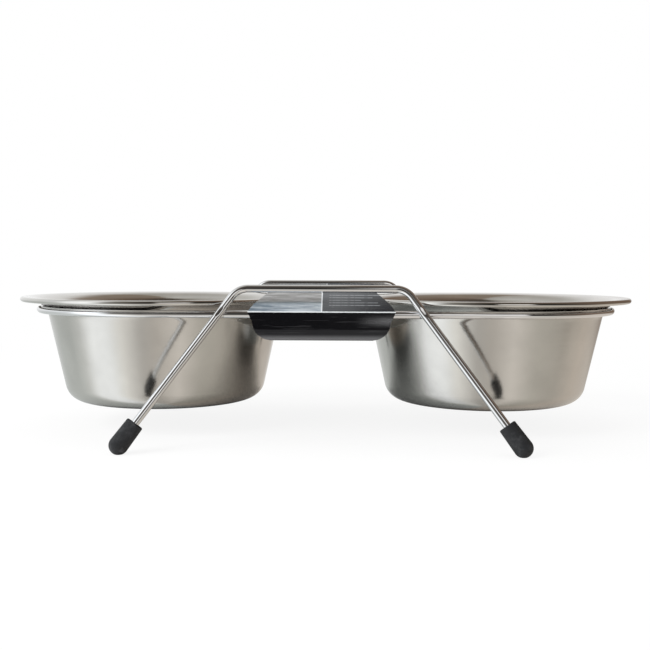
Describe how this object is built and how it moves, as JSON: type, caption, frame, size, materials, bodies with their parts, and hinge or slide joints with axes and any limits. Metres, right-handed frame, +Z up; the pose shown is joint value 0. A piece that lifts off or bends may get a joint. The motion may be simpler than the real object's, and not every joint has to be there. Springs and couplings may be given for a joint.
{
  "type": "double pet bowl",
  "caption": "Raised pet feeder: flared steel bowls side by side in a racetrack wire loop on bent wire legs with rubber feet, banded by a folded card sleeve.",
  "frame": {"origin": "on the floor, under the middle of the stand", "axes": "+X from the left bowl to the right bowl, -Y towards the front, +Z up"},
  "size_m": [0.385, 0.216, 0.0917],
  "materials": {
    "bowl_steel": "satin pressed stainless sheet, bright rolled rim",
    "frame_chrome": "bright plated wire",
    "foot_rubber": "soft satin rubber",
    "sleeve_card": "printed and varnished card"
  },
  "bodies": {
    "stand": {"frame_loop": "frame_chrome", "front_leg_wire": "frame_chrome", "rear_leg_wire": "frame_chrome", "front_left_foot": "foot_rubber", "front_right_foot": "foot_rubber", "rear_left_foot": "foot_rubber", "rear_right_foot": "foot_rubber", "card_sleeve": "sleeve_card"},
    "left_bowl": {"left_bowl": "bowl_steel"},
    "right_bowl": {"right_bowl": "bowl_steel"}
  },
  "joints": [
    {"name": "left_bowl_lift", "type": "slide", "parent": "stand", "child": "left_bowl", "axis": [0, 0, 1], "range_m": [0, 0.085]},
    {"name": "right_bowl_lift", "type": "slide", "parent": "stand", "child": "right_bowl", "axis": [0, 0, 1], "range_m": [0, 0.085]}
  ]
}
